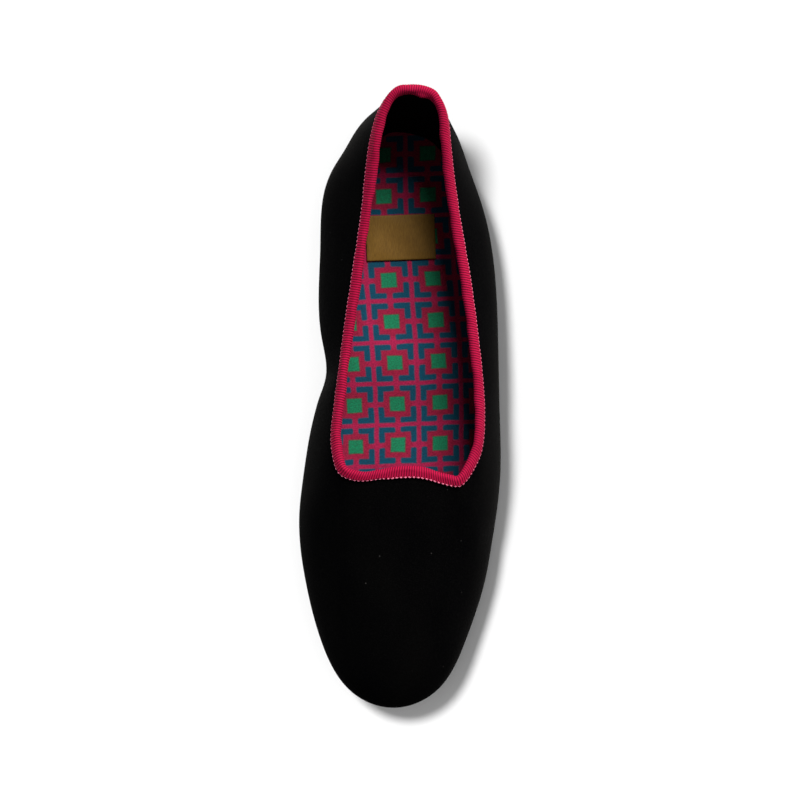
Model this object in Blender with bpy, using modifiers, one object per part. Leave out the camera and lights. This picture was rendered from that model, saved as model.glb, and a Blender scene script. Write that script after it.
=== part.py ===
"""Left house slipper: a soft velvet upper with a ribbon-bound collar, on a ribbed sole with a printed insole.

Sizes are in millimetres and become metres as the meshes are made. The toe points along -Y, +X is the outer
(lateral) side of the foot, +Z is up, and the slipper stands on the plane z = 0.
"""

import bmesh
import bpy
import numpy as np
from mathutils import Matrix

MM = 0.001

# Upper: a velvet and lining wall, and how it swells out above the sole's edge.
WALL = 1.6
SIDE_RISE = 8.5
LEAST_SWELL = 5.0
FEATHER_INSET = 0.8
WALL_STRAIGHTNESS = 0.55
VAMP_STRAIGHTNESS = 0.50
WALL_FULLNESS = 2.0
VAMP_FULLNESS = 2.15
WALL_REACH = 12.0
VAMP_REACH = 95.0
GAP = 0.3

# Ribbon folded over the collar's edge, half outside and half inside.
RIBBON = 0.4
RIBBON_LEG = 2.2
FOLD_ANGLES = (45.0, 90.0, 135.0)

# Sole: thicker under the heel, lifted at the arch and sprung up at the toe.
HEEL_THICKNESS = 10.0
FOREFOOT_THICKNESS = 7.0
HEEL_FLAT_FRONT = 37.0
FOREFOOT_FLAT_BACK = -12.0
FOREFOOT_FLAT_FRONT = -70.0
TOE_TIP = -125.0
ARCH_LIFT = 1.6
TOE_SPRING = 6.5
EDGE_ROUND = 4.0
TOP_BEVEL = 0.8

# Tread: two fields of cross grooves, each a V between flat bars.
GROOVE_DEPTH = 1.1
FIELD_INSET = 8.0
HEEL_FIELD = {"first_y": 102.0, "pitch": 5.9, "count": 11}
FOREFOOT_FIELD = {"first_y": -18.0, "pitch": 5.35, "count": 19}
FOREFOOT_FIELD_SLANT = 0.5
FOREFOOT_FIELD_CORNER_X = 22.0
FOREFOOT_FIELD_BACK = -13.5

# Insole and the woven label on it.
INSOLE_CLEARANCE = 1.0
INSOLE_THICKNESS = 3.0
INSOLE_BOARD = 1.8
INSOLE_LIP = 1.4
LABEL_WIDTH = 29.0
LABEL_LENGTH = 19.0
LABEL_THICKNESS = 0.5
LABEL_CENTRE = (0.3, 67.4)
LABEL_TURN = 1.5

# Faceting.
AROUND = 104
LOWER_STEPS = 4
UPPER_STEPS = 7
RUNG_STEPS = 4

# Wall sections round the slipper, from the back of the heel along the outer side to the toe and back along
# the inner side. side is the widest line of the upper seen from above, overhang is how far it stands past
# the sole's edge, and collar is the edge of the opening.
SECTION_COLUMNS = ("side_x", "side_y", "overhang", "collar_x", "collar_y", "collar_z")
WALL_SECTIONS = {
    "heel_back": (3.0, 121.5, 3.0, 3.2, 127.9, 60.0),
    "outer_heel_round": (9.6, 120.2, 2.6, 10.2, 127.4, 59.9),
    "outer_heel_corner": (19.0, 116.5, 4.5, 16.7, 121.8, 58.6),
    "outer_heel": (27.6, 100.7, 2.4, 19.2, 106.0, 54.5),
    "outer_quarter": (35.4, 78.0, 4.7, 22.3, 79.0, 46.5),
    "outer_shank": (40.0, 50.0, 8.0, 27.1, 51.0, 43.0),
    "outer_waist": (41.2, 20.0, 7.8, 31.1, 22.0, 42.0),
    "outer_joint": (41.9, -8.0, 7.1, 33.4, -3.0, 42.5),
    "outer_ball": (42.1, -31.0, 5.1, 32.3, -19.4, 44.5),
    "outer_toes": (40.0, -51.0, 4.2, 28.2, -28.6, 46.6),
    "outer_throat_corner": (38.2, -62.5, 4.2, 25.0, -32.7, 47.8),
    "outer_throat": (35.8, -75.2, 4.5, 22.2, -33.0, 48.4),
    "outer_toe_side": (28.1, -99.2, 4.7, 15.4, -31.2, 49.0),
    "outer_toe_corner": (14.7, -122.0, 4.6, 8.2, -29.1, 49.8),
    "toe_tip": (-3.0, -128.5, 3.6, -0.6, -29.1, 50.0),
    "inner_toe_corner": (-20.2, -122.0, 4.8, -8.0, -30.2, 49.6),
    "inner_toe_side": (-33.0, -101.0, 4.8, -14.6, -31.3, 49.0),
    "inner_throat": (-39.6, -76.0, 4.4, -20.2, -30.7, 48.2),
    "inner_toes": (-42.35, -51.0, 3.5, -24.1, -27.3, 47.0),
    "inner_ball": (-40.5, -31.5, 4.7, -26.0, -18.0, 45.0),
    "inner_joint": (-34.2, -0.5, 7.1, -25.2, 1.5, 43.0),
    "inner_waist": (-31.0, 10.8, 5.8, -23.5, 15.5, 42.2),
    "inner_shank": (-32.9, 26.5, 7.3, -21.5, 28.5, 42.3),
    "inner_quarter": (-33.4, 64.0, 5.6, -15.5, 65.0, 45.0),
    "inner_heel": (-31.2, 89.2, 3.7, -11.9, 88.5, 49.5),
    "inner_heel_side": (-21.3, 108.5, 2.7, -9.6, 106.8, 55.0),
    "inner_heel_corner": (-12.4, 119.2, 5.1, -7.2, 118.9, 57.7),
    "inner_heel_round": (-4.8, 121.3, 3.9, -3.8, 124.9, 59.2),
}

VELVET_BLACK = (0.006, 0.006, 0.007)
RIBBON_RASPBERRY = (0.42, 0.012, 0.055)
SOLE_BLACK = (0.012, 0.012, 0.012)
INSOLE_RED = (0.32, 0.02, 0.06)
LABEL_GOLD = (0.20, 0.11, 0.025)


def smooth(share):
    """Eases from 0 to 1."""
    share = np.clip(share, 0.0, 1.0)
    return share * share * (3.0 - 2.0 * share)


def sole_bottom(y):
    """Height of the sole's underside: flat at heel and forefoot, arched between, sprung at the toe."""
    arch = (HEEL_FLAT_FRONT - y) / (HEEL_FLAT_FRONT - FOREFOOT_FLAT_BACK)
    toe = (FOREFOOT_FLAT_FRONT - y) / (FOREFOOT_FLAT_FRONT - TOE_TIP)
    lift = ARCH_LIFT * np.sin(np.pi * np.clip(arch, 0.0, 1.0)) ** 2
    return lift + TOE_SPRING * np.clip(toe, 0.0, None) ** 2


def sole_top(y):
    """Height of the face that the upper and the insole stand on."""
    forward = smooth((HEEL_FLAT_FRONT - y) / (HEEL_FLAT_FRONT - FOREFOOT_FLAT_BACK))
    return sole_bottom(y) + HEEL_THICKNESS + (FOREFOOT_THICKNESS - HEEL_THICKNESS) * forward


def closed_spline(knots, period, rows, places):
    """A smooth closed curve through the rows, one row at each knot, read at the places asked for."""
    steps = np.diff(np.append(knots, knots[0] + period))
    slopes = (np.roll(rows, -1, axis=0) - rows) / steps[:, None]
    count = len(knots)
    system = np.zeros((count, count))
    for i in range(count):
        system[i, i - 1] += steps[i - 1]
        system[i, i] += 2.0 * (steps[i - 1] + steps[i])
        system[i, (i + 1) % count] += steps[i]
    bends = np.linalg.solve(system, 6.0 * (slopes - np.roll(slopes, 1, axis=0)))
    places = np.mod(places, period)
    span = np.searchsorted(knots, places, side="right") - 1
    after = (span + 1) % count
    along = (places - knots[span])[:, None]
    left = (knots[span] + steps[span] - places)[:, None]
    step = steps[span][:, None]
    return (
        bends[span] * left**3 / (6.0 * step)
        + bends[after] * along**3 / (6.0 * step)
        + (rows[span] / step - bends[span] * step / 6.0) * left
        + (rows[after] / step - bends[after] * step / 6.0) * along
    )


def sections_round(count):
    """The wall section at even steps round the slipper: side and sole outlines, and the collar's edge."""
    rows = np.array(list(WALL_SECTIONS.values()))
    chords = np.linalg.norm(np.roll(rows[:, :2], -1, axis=0) - rows[:, :2], axis=1)
    knots = np.concatenate([[0.0], np.cumsum(chords)[:-1]])
    period = chords.sum()
    places = np.arange(count) * period / count
    values = closed_spline(knots, period, rows, places)
    nearby = period / count / 10.0
    tangent = closed_spline(knots, period, rows[:, :2], places + nearby) - values[:, :2]
    tangent /= np.linalg.norm(tangent, axis=1)[:, None]
    outward = np.stack([-tangent[:, 1], tangent[:, 0]], axis=1)
    side = values[:, :2]
    overhang = values[:, 2:3]
    return {
        "outward": outward,
        "side": side,
        "sole": side - outward * overhang,
        "feather": side - outward * np.maximum(overhang + FEATHER_INSET, LEAST_SWELL),
        "collar": values[:, 3:],
    }


def raised(plan, height):
    """Plan points with a height each."""
    return np.column_stack([plan, np.broadcast_to(height, len(plan))])


def wall_grid(sections):
    """Points of the upper's outer face: a line for each section, from the sole's edge up to the collar."""
    feather = raised(sections["feather"], sole_top(sections["feather"][:, 1]) + GAP)
    side = raised(sections["side"], sole_top(sections["side"][:, 1]) + SIDE_RISE)
    collar = sections["collar"]
    reach = np.linalg.norm(collar[:, :2] - side[:, :2], axis=1)
    vamp = smooth((reach - WALL_REACH) / (VAMP_REACH - WALL_REACH))
    straightness = WALL_STRAIGHTNESS + (VAMP_STRAIGHTNESS - WALL_STRAIGHTNESS) * vamp
    power = 2.0 / (WALL_FULLNESS + (VAMP_FULLNESS - WALL_FULLNESS) * vamp)
    lines = []
    for turn in np.linspace(0.0, np.pi / 2, LOWER_STEPS, endpoint=False):
        shares = np.array([np.sin(turn), np.sin(turn), 1.0 - np.cos(turn)])
        lines.append(feather + (side - feather) * shares)
    for turn in np.linspace(0.0, np.pi / 2, UPPER_STEPS + 1):
        inward = 1.0 - np.maximum(np.cos(turn), 0.0) ** power
        upward = (1.0 - straightness) * np.sin(turn) ** power + straightness * inward
        lines.append(side + (collar - side) * np.column_stack([inward, inward, upward]))
    return np.stack(lines, axis=1)


def outward_normals(grid):
    """Unit normals of a grid that closes round its first axis."""
    around = np.roll(grid, -1, axis=0) - np.roll(grid, 1, axis=0)
    upward = np.gradient(grid, axis=1)
    normals = np.cross(upward, around)
    return normals / np.linalg.norm(normals, axis=2)[:, :, None]


def below_collar(grid, distance):
    """The point of each wall line this far below the collar's edge, and the wall's normal there."""
    values = np.concatenate([grid, outward_normals(grid)], axis=2)[:, ::-1]
    steps = np.linalg.norm(np.diff(values[:, :, :3], axis=1), axis=2)
    lengths = np.column_stack([np.zeros(len(grid)), np.cumsum(steps, axis=1)])
    found = np.array([
        [np.interp(distance, length, column) for column in line.T]
        for length, line in zip(lengths, values)
    ])
    return found[:, :3], found[:, 3:] / np.linalg.norm(found[:, 3:], axis=1)[:, None]


def collection(name):
    made = bpy.data.collections.new(name)
    bpy.context.scene.collection.children.link(made)
    return made


def material(name, colour, roughness):
    made = bpy.data.materials.new(name)
    made.use_nodes = True
    shader = made.node_tree.nodes["Principled BSDF"]
    shader.inputs["Base Color"].default_value = (*colour, 1.0)
    shader.inputs["Roughness"].default_value = roughness
    shader.inputs["Metallic"].default_value = 0.0
    return made


def mesh_object(name, shape, home, look=None):
    """A new object from a bmesh in millimetres."""
    bmesh.ops.scale(shape, vec=(MM, MM, MM), verts=shape.verts)
    mesh = bpy.data.meshes.new(name)
    shape.to_mesh(mesh)
    shape.free()
    made = bpy.data.objects.new(name, mesh)
    home.objects.link(made)
    if look:
        mesh.materials.append(look)
        mesh.shade_smooth()
        mesh.set_sharp_from_angle(angle=np.radians(40.0))
    return made


def band(shape, grid):
    """Faces over a grid of points that closes round its first axis. Returns the vertices in its order."""
    verts = [[shape.verts.new(point) for point in line] for line in grid]
    for line, following in zip(verts, verts[1:] + verts[:1]):
        for k in range(len(line) - 1):
            shape.faces.new((line[k], line[k + 1], following[k + 1], following[k]))
    return verts


def capped(shape, rim, height):
    """Closes a ring with rungs from its outer half to its inner half, each following the height along y."""
    half = len(rim) // 2
    rungs = [[rim[0]] * (RUNG_STEPS + 1)]
    for i in range(1, half):
        start, end = rim[i].co, rim[-i].co
        rung = [rim[i]]
        for share in np.linspace(0.0, 1.0, RUNG_STEPS + 1)[1:-1]:
            x, y, _ = start.lerp(end, share)
            rung.append(shape.verts.new((x, y, float(height(y)))))
        rungs.append(rung + [rim[-i]])
    rungs.append([rim[half]] * (RUNG_STEPS + 1))
    for rung, following in zip(rungs, rungs[1:]):
        for k in range(RUNG_STEPS):
            corners = (rung[k], rung[k + 1], following[k + 1], following[k])
            shape.faces.new(list(dict.fromkeys(corners)))


def lofted_plate(name, rings, underside, top, home, look):
    """A closed plate from rings that run from its underside, out round its edge, to its top."""
    shape = bmesh.new()
    verts = band(shape, np.stack(rings, axis=1))
    capped(shape, [line[0] for line in verts], underside)
    capped(shape, [line[-1] for line in verts], top)
    bmesh.ops.recalc_face_normals(shape, faces=shape.faces)
    return mesh_object(name, shape, home, look)


def shell(name, grid, thickness, offset, home, look):
    """An open surface given a wall by Solidify, inwards at offset -1 and outwards at 1."""
    shape = bmesh.new()
    band(shape, grid)
    made = mesh_object(name, shape, home, look)
    wall = made.modifiers.new("wall", "SOLIDIFY")
    wall.thickness = thickness * MM
    wall.offset = offset
    wall.use_even_offset = True
    return made


def inset_outline(sections, name, inset):
    """One of the outlines seen from above, moved in by this much."""
    return sections[name] - sections["outward"] * inset


def outsole(sections, home, look):
    """The sole's body: a rounded lower edge, an upright side and a flat top."""
    rings = []
    for turn in np.linspace(0.0, np.pi / 2, 4):
        plan = inset_outline(sections, "sole", EDGE_ROUND * (1.0 - np.sin(turn)))
        rings.append(raised(plan, sole_bottom(plan[:, 1]) + EDGE_ROUND * (1.0 - np.cos(turn))))
    for inset, below in ((0.0, TOP_BEVEL), (TOP_BEVEL, 0.0)):
        plan = inset_outline(sections, "sole", inset)
        rings.append(raised(plan, sole_top(plan[:, 1]) - below))
    return lofted_plate("outsole", rings, sole_bottom, sole_top, home, look)


def groove_ends(sections, y):
    """Where a cross groove at this y ends on the inner and on the outer side."""
    plan = inset_outline(sections, "sole", FIELD_INSET)
    half = len(plan) // 2
    outer = plan[: half + 1]
    inner = plan[half:]
    start = float(np.interp(y, inner[:, 1], inner[:, 0]))
    end = float(np.interp(-y, -outer[:, 1], outer[:, 0]))
    if y < FOREFOOT_FIELD_BACK:
        slanted = FOREFOOT_FIELD_CORNER_X - (FOREFOOT_FIELD_BACK - y) / FOREFOOT_FIELD_SLANT
        start = max(start, slanted)
    return start, end


def tread_grooves(sections, home):
    """V grooves across both tread fields, as square bars turned on edge."""
    shape = bmesh.new()
    for field in (HEEL_FIELD, FOREFOOT_FIELD):
        for i in range(field["count"]):
            y = field["first_y"] - i * field["pitch"]
            start, end = groove_ends(sections, y)
            slope = np.arctan2(sole_bottom(y + 1.0) - sole_bottom(y - 1.0), 2.0)
            side = GROOVE_DEPTH * np.sqrt(2.0)
            placed = (
                Matrix.Translation(((start + end) / 2, y, float(sole_bottom(y))))
                @ Matrix.Rotation(slope + np.pi / 4, 4, "X")
                @ Matrix.Diagonal((end - start, side, side, 1.0))
            )
            bmesh.ops.create_cube(shape, size=1.0, matrix=placed)
    made = mesh_object("tread_grooves", shape, home)
    made.hide_render = True
    made.display_type = "WIRE"
    return made


def cut(target, cutter):
    removal = target.modifiers.new(cutter.name, "BOOLEAN")
    removal.operation = "DIFFERENCE"
    removal.object = cutter


def insole_base(y):
    """Height of the insole's underside, just clear of the sole."""
    return sole_top(y) + GAP


def insole_height(y):
    """Height of the insole's top face."""
    return insole_base(y) + INSOLE_THICKNESS


def insole(sections, home, look):
    """A flat sock on a board inside the upper's lower edge, with a lip out over the lining's curve."""
    edge = inset_outline(sections, "feather", INSOLE_CLEARANCE)
    lip = inset_outline(sections, "feather", -INSOLE_LIP)
    rings = [
        raised(edge, insole_base(edge[:, 1])),
        raised(edge, insole_base(edge[:, 1]) + INSOLE_BOARD),
        raised(lip, insole_height(lip[:, 1])),
    ]
    return lofted_plate("insole", rings, insole_base, insole_height, home, look)


def collar_binding(grid, home, look):
    """The ribbon: down the outside, over the collar's edge and down the inside, clear of the wall."""
    edge, normal = below_collar(grid, 0.0)
    hem, hem_normal = below_collar(grid, RIBBON_LEG)
    upward = edge - hem
    upward /= np.linalg.norm(upward, axis=1)[:, None]
    middle = edge - normal * WALL / 2
    radius = WALL / 2 + GAP
    line = [hem + hem_normal * GAP, edge + normal * GAP]
    for angle in np.radians(FOLD_ANGLES):
        line.append(middle + radius * (np.cos(angle) * normal + np.sin(angle) * upward))
    line += [edge - normal * (WALL + GAP), hem - hem_normal * (WALL + GAP)]
    return shell("collar_binding", np.stack(line, axis=1), RIBBON, 1.0, home, look)


def insole_label(home, look):
    """A flat woven label, bare, lying on the insole behind the waist."""
    shape = bmesh.new()
    x, y = LABEL_CENTRE
    placed = (
        Matrix.Translation((x, y, float(insole_height(y)) + GAP + LABEL_THICKNESS / 2))
        @ Matrix.Rotation(np.radians(LABEL_TURN), 4, "Z")
        @ Matrix.Diagonal((LABEL_WIDTH, LABEL_LENGTH, LABEL_THICKNESS, 1.0))
    )
    bmesh.ops.create_cube(shape, size=1.0, matrix=placed)
    return mesh_object("insole_label", shape, home, look)


def main():
    for old in list(bpy.data.objects):
        bpy.data.objects.remove(old)
    parts = collection("slipper")
    cutters = collection("cutters")
    sections = sections_round(AROUND)
    grid = wall_grid(sections)
    sole = outsole(sections, parts, material("sole_rubber", SOLE_BLACK, 0.55))
    cut(sole, tread_grooves(sections, cutters))
    shell("upper", grid, WALL, -1.0, parts, material("velvet", VELVET_BLACK, 0.95))
    collar_binding(grid, parts, material("grosgrain", RIBBON_RASPBERRY, 0.8))
    insole(sections, parts, material("insole_print", INSOLE_RED, 0.9))
    insole_label(parts, material("label_satin", LABEL_GOLD, 0.45))


main()
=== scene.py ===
"""Looks of the left velvet slipper.

The pieces are napped velvet, a ribbed ribbon binding, a printed insole with a bare label and a moulded
sole. Shapes are worked out in millimetres from a table of wall sections, as in the solids but with many
more steps, and become metres as the meshes are made.
"""

import bpy
import numpy as np
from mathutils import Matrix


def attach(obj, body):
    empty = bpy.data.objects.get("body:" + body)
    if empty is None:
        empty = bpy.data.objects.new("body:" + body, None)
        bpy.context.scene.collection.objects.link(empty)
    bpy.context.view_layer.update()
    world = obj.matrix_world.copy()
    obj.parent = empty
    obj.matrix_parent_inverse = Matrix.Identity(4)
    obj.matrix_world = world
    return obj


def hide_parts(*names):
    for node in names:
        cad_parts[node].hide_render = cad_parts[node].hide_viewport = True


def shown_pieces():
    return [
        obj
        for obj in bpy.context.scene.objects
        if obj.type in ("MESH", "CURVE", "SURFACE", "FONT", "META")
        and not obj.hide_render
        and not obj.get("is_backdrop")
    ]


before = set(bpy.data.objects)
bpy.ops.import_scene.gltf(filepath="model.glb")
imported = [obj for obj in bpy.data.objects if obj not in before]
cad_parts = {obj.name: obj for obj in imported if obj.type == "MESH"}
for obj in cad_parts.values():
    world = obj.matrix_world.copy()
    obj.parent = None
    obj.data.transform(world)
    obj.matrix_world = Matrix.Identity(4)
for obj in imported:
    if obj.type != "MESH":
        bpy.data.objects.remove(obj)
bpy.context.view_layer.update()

MM = 0.001

# Sizes of the wall, sole, insole and label, mostly those of the solids.
WALL = 1.6
SIDE_RISE = 8.5
LEAST_SWELL = 5.0
FEATHER_INSET = 0.8
WALL_STRAIGHTNESS = 0.55
VAMP_STRAIGHTNESS = 0.50
WALL_FULLNESS = 2.0
VAMP_FULLNESS = 2.15
WALL_REACH = 12.0
VAMP_REACH = 95.0
GAP = 0.3
RIBBON = 0.4
RIBBON_LEG = 2.2
HEEL_THICKNESS = 10.0
FOREFOOT_THICKNESS = 7.0
HEEL_FLAT_FRONT = 37.0
FOREFOOT_FLAT_BACK = -12.0
FOREFOOT_FLAT_FRONT = -70.0
TOE_TIP = -125.0
ARCH_LIFT = 1.6
TOE_SPRING = 6.5
EDGE_ROUND = 4.0
TOP_BEVEL = 0.8
GROOVE_DEPTH = 1.1
GROOVE_HALF = 1.35
GROOVE_END_GAP = 1.7
BORDER_INSET = 6.4
BORDER_INSET_HEEL = 10.5
BORDER_INSET_TOE = 4.6
HEEL_FIELD_FRONT = 40.0
STITCH_CHANNEL = 0.8
STITCH_RADIUS = 0.5
STITCH_LENGTH = 2.3
STITCH_PITCH = 3.1
HEEL_FIELD = {"first_y": 102.0, "pitch": 5.9, "count": 11}
FOREFOOT_FIELD = {"first_y": -18.0, "pitch": 5.35, "count": 19}
FOREFOOT_FIELD_SLANT = 0.5
FOREFOOT_FIELD_CORNER_X = 22.0
FOREFOOT_FIELD_BACK = -13.5
INSOLE_CLEARANCE = 1.0
INSOLE_THICKNESS = 3.0
INSOLE_BOARD = 1.8
SOCK_LIP = 1.75
SOCK_ROUND = 0.25
SOCK_RIPPLE = 0.08
SOCK_RIPPLE_WAY = (0.21, 0.13)
HEEL_DISH = {"x": 2.0, "y": 84.0, "half_x": 17.0, "half_y": 24.0, "depth": 0.5}
BALL_DISH = {"x": -3.0, "y": -42.0, "half_x": 22.0, "half_y": 22.0, "depth": 0.35}
HEEL_PAD = 5.75
HEEL_PAD_FOOT = 14.0
HEEL_PAD_TOP = 46.0
HEEL_PAD_FROM_Y = 84.0
HEEL_PAD_OVER = 30.0
LABEL_WIDTH = 29.0
LABEL_LENGTH = 19.0
LABEL_THICKNESS = 0.5
LABEL_CENTRE = (0.3, 68.2)
LABEL_TURN = 2.0
LABEL_EDGE = 0.35
LABEL_EDGE_ROUND = 0.7
LABEL_LIFT = 0.1
LABEL_LIFT_OVER = 4.0
LABEL_LIFT_WAY = (0.35, 0.2)

# Tread: the borders round the two fields, the grooves' flanks, the moulded stitches and the hard edges.
BORDER_HEEL = {"from_y": 92.0, "over": 24.0}
BORDER_TOE = {"from_y": -85.0, "over": 30.0}
HEEL_BORDER_GAP = 3.0
HEEL_BORDER_BOW = 0.006
FOREFOOT_BORDER_GAP = 2.2
FOREFOOT_BORDER_BEND = 0.12
LEAST_GROOVE = 4.0
GROOVE_FLANK_POWER = 1.7
GROOVE_OVERCUT = 0.6
STITCH_CLEARANCE = 0.1
STITCH_LOOK_AHEAD = 0.4
STITCH_END_POWER = 3
STITCH_END = 0.05
SHARP_ANGLE = 35.0
UNDERSIDE_TILT = 0.3

# How finely each piece is made.
UPPER_AROUND = 440
UPPER_LOWER_STEPS = 12
UPPER_UPPER_STEPS = 60
COLLAR_FINE_STEPS = 4000
RIBBON_WALL_STEPS = (4, 28)
INSOLE_AROUND = 300
INSOLE_EDGE_STEPS = 4
INSOLE_RUNG_STEPS = 36
LABEL_STEPS = (60, 40)
SOLE_AROUND = 312
SOLE_EDGE_STEPS = 8
SOLE_BEVEL_STEPS = 4
SOLE_RUNG_STEPS = 8
BORDER_CROSS_STEPS = 60
BORDER_STEPS_A_STITCH = 6
BORDER_ROUNDINGS = 6
GROOVE_PROFILE_STEPS = 9
TUBE_SIDES = 8
STITCH_STATIONS = 7
EASING_SAMPLES = 15
TANGENT_STEP = 0.3

# The solids' wall sections, moved by up to about 1 mm at the inner heel and along the inner collar.
# side x, side y, overhang past the sole, collar x, collar y, collar z
WALL_SECTIONS = {
    "heel_back": (3.0, 121.5, 3.0, 3.2, 127.9, 60.0),
    "outer_heel_round": (9.6, 120.2, 2.6, 10.2, 127.4, 59.9),
    "outer_heel_corner": (19.0, 116.5, 4.5, 16.7, 121.8, 58.6),
    "outer_heel": (27.6, 100.7, 2.4, 19.2, 106.0, 54.5),
    "outer_quarter": (35.4, 78.0, 4.7, 22.3, 79.0, 46.5),
    "outer_shank": (40.0, 50.0, 8.0, 27.1, 51.0, 43.0),
    "outer_waist": (41.2, 20.0, 7.8, 31.1, 22.0, 42.0),
    "outer_joint": (41.9, -8.0, 7.1, 33.4, -3.0, 42.5),
    "outer_ball": (42.1, -31.0, 5.1, 32.3, -19.4, 44.5),
    "outer_toes": (40.0, -51.0, 4.2, 28.2, -28.6, 46.6),
    "outer_throat_corner": (38.2, -62.5, 4.2, 25.0, -32.7, 47.8),
    "outer_throat": (35.8, -75.2, 4.5, 22.2, -33.0, 48.4),
    "outer_toe_side": (28.1, -99.2, 4.7, 15.4, -31.2, 49.0),
    "outer_toe_corner": (14.7, -122.0, 4.6, 8.2, -29.1, 49.8),
    "toe_tip": (-3.0, -128.5, 3.6, -0.6, -29.1, 50.0),
    "inner_toe_corner": (-20.2, -122.0, 4.8, -8.0, -30.2, 49.6),
    "inner_toe_side": (-33.0, -101.0, 4.8, -14.6, -31.3, 49.0),
    "inner_throat": (-39.6, -76.0, 4.4, -20.4, -30.4, 48.2),
    "inner_toes": (-42.35, -51.0, 3.5, -24.7, -26.5, 47.0),
    "inner_ball": (-40.5, -31.5, 4.7, -26.5, -18.0, 45.0),
    "inner_joint": (-34.2, -0.5, 7.1, -25.2, 1.5, 43.0),
    "inner_waist": (-31.0, 10.8, 5.8, -23.5, 15.5, 42.2),
    "inner_shank": (-32.9, 26.5, 7.3, -21.5, 28.5, 42.3),
    "inner_quarter": (-33.4, 64.0, 5.6, -15.8, 65.0, 45.0),
    "inner_heel": (-31.2, 89.2, 3.7, -12.3, 88.5, 49.5),
    "inner_heel_side": (-21.3, 108.5, 2.7, -10.1, 106.8, 55.0),
    "inner_heel_corner": (-12.4, 119.2, 5.1, -7.2, 118.9, 57.7),
    "inner_heel_round": (-6.0, 122.2, 3.9, -3.8, 124.9, 59.2),
}

# The sole's outline is evened out round the heel: the reach is a share of the way round the slipper.
HEEL_EASED_REACH = 0.026
HEEL_EASED_FROM_Y = 88.0
HEEL_EASED_OVER = 18.0

# Ribbon: its outer leg and fold, the tuck on the inner side, the ribs, the looped edge and the heel join.
OUTER_LEG = 1.9
OUTER_LEG_HEEL = 3.2
OUTER_LEG_CORNER = 2.3
OUTER_LEG_FRONT = 2.9
LEG_HEEL = {"from_y": 70.0, "over": 35.0, "least": 0.5, "outer_x": 8.0, "across": 10.0}
LEG_CORNER = {"x": -26.0, "y": -21.0, "half_x": 6.0, "half_y": 8.0}
LEG_FRONT = {"from_x": -9.0, "to_x": 26.0, "over": 6.0, "back_y": -22.0}
FOLD_FULLNESS = 0.35
FOLD_NARROWED = 0.5
FOLD_NARROW = {"from_y": 54.0, "from_over": 10.0, "to_y": 89.0, "to_over": 7.0}
TUCK_Y = 85.0
TUCK_HALF = 1.3
TUCK_HEIGHT = 0.35
RIB_PITCH = 1.02
RIB_HEIGHT = 0.13
RIB_SAMPLES = 6
RIB_SLANT = 0.12
LOOP_PITCH = 1.7
LEG_STEPS = 4
FOLD_STEPS = 8
LOOP_RADIUS = 0.27
LOOP_REACH = 0.14
LOOP_SIDES = 6
LOOP_THIN = 0.45
LOOP_SWELL = 0.65
LOOP_SUNK = 0.4
FRONT_LOOP_GAIN = 0.4
FRONT_LOOP_SHIFT = 0.25
JOIN_X = 9.5
JOIN_HALF = 3.6
JOIN_FRONT_Y = 100.0
JOIN_BULGE = 1.6
JOIN_START = 0.15
JOIN_SPAN = 0.7

# Unevenness round the slipper: cycles, height in millimetres and phase. Gathers are shares of their depth.
FOLD_WAVES = ((17.0, 0.16, 0.5), (29.0, 0.12, 0.0), (53.0, 0.08, 1.0))
LEG_WAVES = ((23.0, 0.06, 0.0), (41.0, 0.05, 2.0))
GATHER_WAVES = ((97.0, 0.3, 0.0), (61.0, 0.2, 1.0))
GATHER_DEPTH = 0.22
HEM_SHARPNESS = 14.0

# Soft creases of the upper: a start and an end on the wall, half width and depth.
# A negative depth is a ridge.
CREASES = {
    "waist_fold": ((-30.0, 10.5, 25.0), (-26.5, 12.5, 38.0), 4.5, 0.45),
    "waist_roll": ((-33.5, -0.5, 22.0), (-29.5, 1.5, 36.0), 5.5, -0.3),
    "heel_dent": ((-24.0, 104.0, 22.0), (-14.0, 104.0, 46.0), 7.0, 0.6),
    "vamp_flex_outer": ((39.0, -58.0, 24.0), (14.0, -64.0, 44.0), 6.0, 0.35),
    "vamp_flex_inner": ((-40.0, -56.0, 24.0), (-14.0, -66.0, 44.0), 6.0, 0.35),
}

# Insole print: one square tile repeated, with the cloth drawn a little aside towards the heel.
PRINT_FIRST_ROW = -1.6
PRINT_ROW_PITCH = 17.33
PRINT_ROW_SLOPE = 0.04
PRINT_DRAWN = {"from_y": -20.0, "to_y": 100.0, "x": (-0.8, -7.1)}
PRINT_SHIFTED = {"from_y": 38.0, "to_y": 88.0, "y": (0.0, 0.8)}
PRINT_COLUMN_PITCH = {"from_y": -25.0, "to_y": 45.0, "pitch": (17.7, 18.6)}
SQUARE_HALF = 0.176
BRACKET_RING = 0.378
BRACKET_HALF = 0.072
BRACKET_ROUND = 0.045
BRACKET_END = 0.105
PRINT_SOFTNESS = 0.034
PRINT_WANDER = 0.9

# Grain of the materials, in millimetres.
LINT_SPACING = 7.0
PEBBLE_SIZE = 1.0
EDGE_EASING = 0.45

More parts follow.
